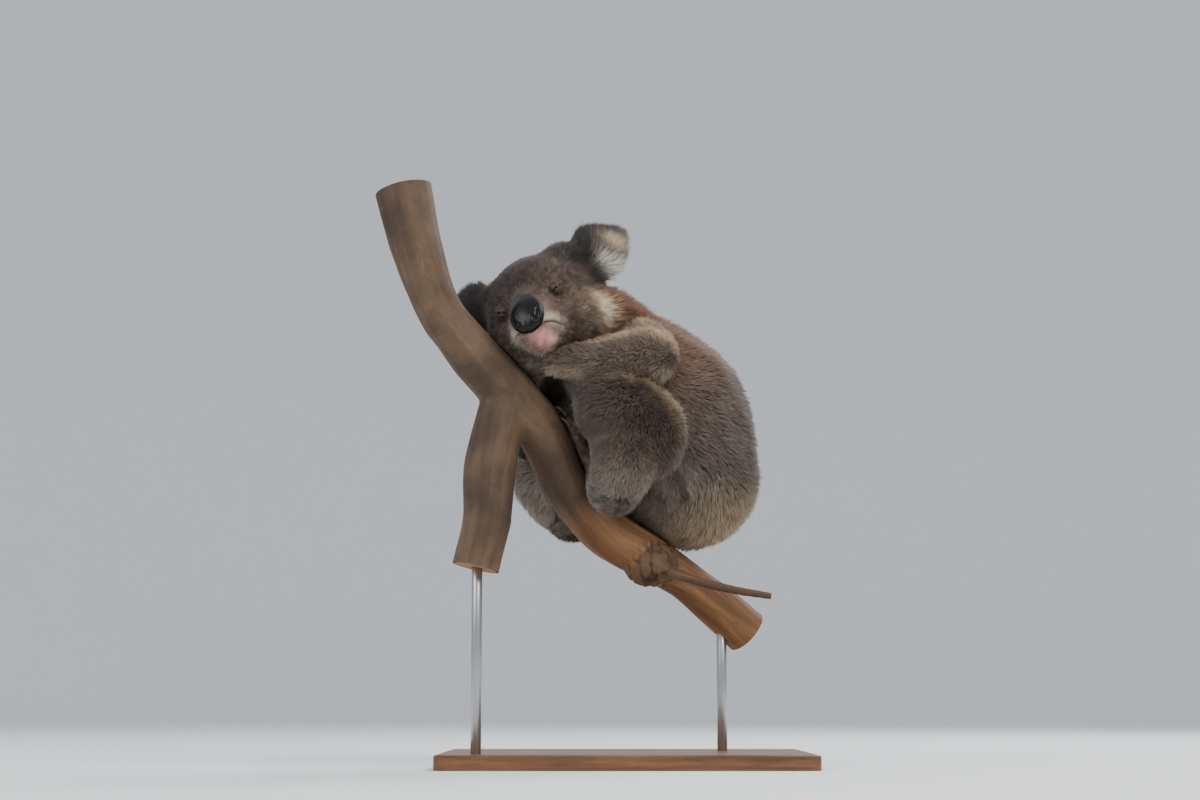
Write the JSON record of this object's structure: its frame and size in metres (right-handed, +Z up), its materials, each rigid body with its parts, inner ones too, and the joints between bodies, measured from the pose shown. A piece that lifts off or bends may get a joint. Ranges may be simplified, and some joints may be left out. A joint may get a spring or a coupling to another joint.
{
  "type": "koala figure",
  "caption": "Life-size museum figure of a koala dozing on a sloping forked branch, held up by a flat base and short rods.",
  "frame": {"origin": "centre of the underside of the stand's flat base, on the floor", "axes": "+Z up; -Y toward the side the face looks to; +X toward the animal's rump, -X toward the branch's upper end"},
  "size_m": [0.5873, 0.3803, 0.7836],
  "materials": {
    "fur": "dense woolly grey-brown coat, paler on chest, throat and rump",
    "ear_fur": "long pale fringe over dark grey ears",
    "nose": "bare, finely pebbled black skin",
    "eyes": "wet, dark amber brown",
    "claws": "dark horn",
    "bark": "smooth eucalypt bark, tan and grey",
    "stand_wood": "satin varnished hardwood",
    "stand_steel": "brushed"
  },
  "bodies": {
    "root": {"claw_foot_left_1": "claws", "claw_foot_left_2": "claws", "claw_foot_left_3": "claws", "claw_foot_left_4": "claws", "claw_foot_right_1": "claws", "claw_foot_right_2": "claws", "claw_foot_right_3": "claws", "claw_foot_right_4": "claws", "claw_hand_left_1": "claws", "claw_hand_left_2": "claws", "claw_hand_left_3": "claws", "claw_hand_left_4": "claws", "claw_hand_left_5": "claws", "claw_hand_right_1": "claws", "claw_hand_right_2": "claws", "claw_hand_right_3": "claws", "claw_hand_right_4": "claws", "claw_hand_right_5": "claws", "ear_left": "ear_fur", "ear_right": "ear_fur", "eye_left": "eyes", "eye_right": "eyes", "foot_left": "fur", "foot_right": "fur", "forearm_left": "fur", "forearm_right": "fur", "hand_left": "fur", "hand_right": "fur", "head": "fur", "neck": "fur", "nose": "nose", "perch_limb": "bark", "perch_side_limb": "bark", "perch_twig": "bark", "shank_left": "fur", "shank_right": "fur", "stand_base": "stand_wood", "stand_rod_left": "stand_steel", "stand_rod_right": "stand_steel", "thigh_left": "fur", "thigh_right": "fur", "trunk": "fur", "upper_arm_left": "fur", "upper_arm_right": "fur"}
  },
  "joints": []
}
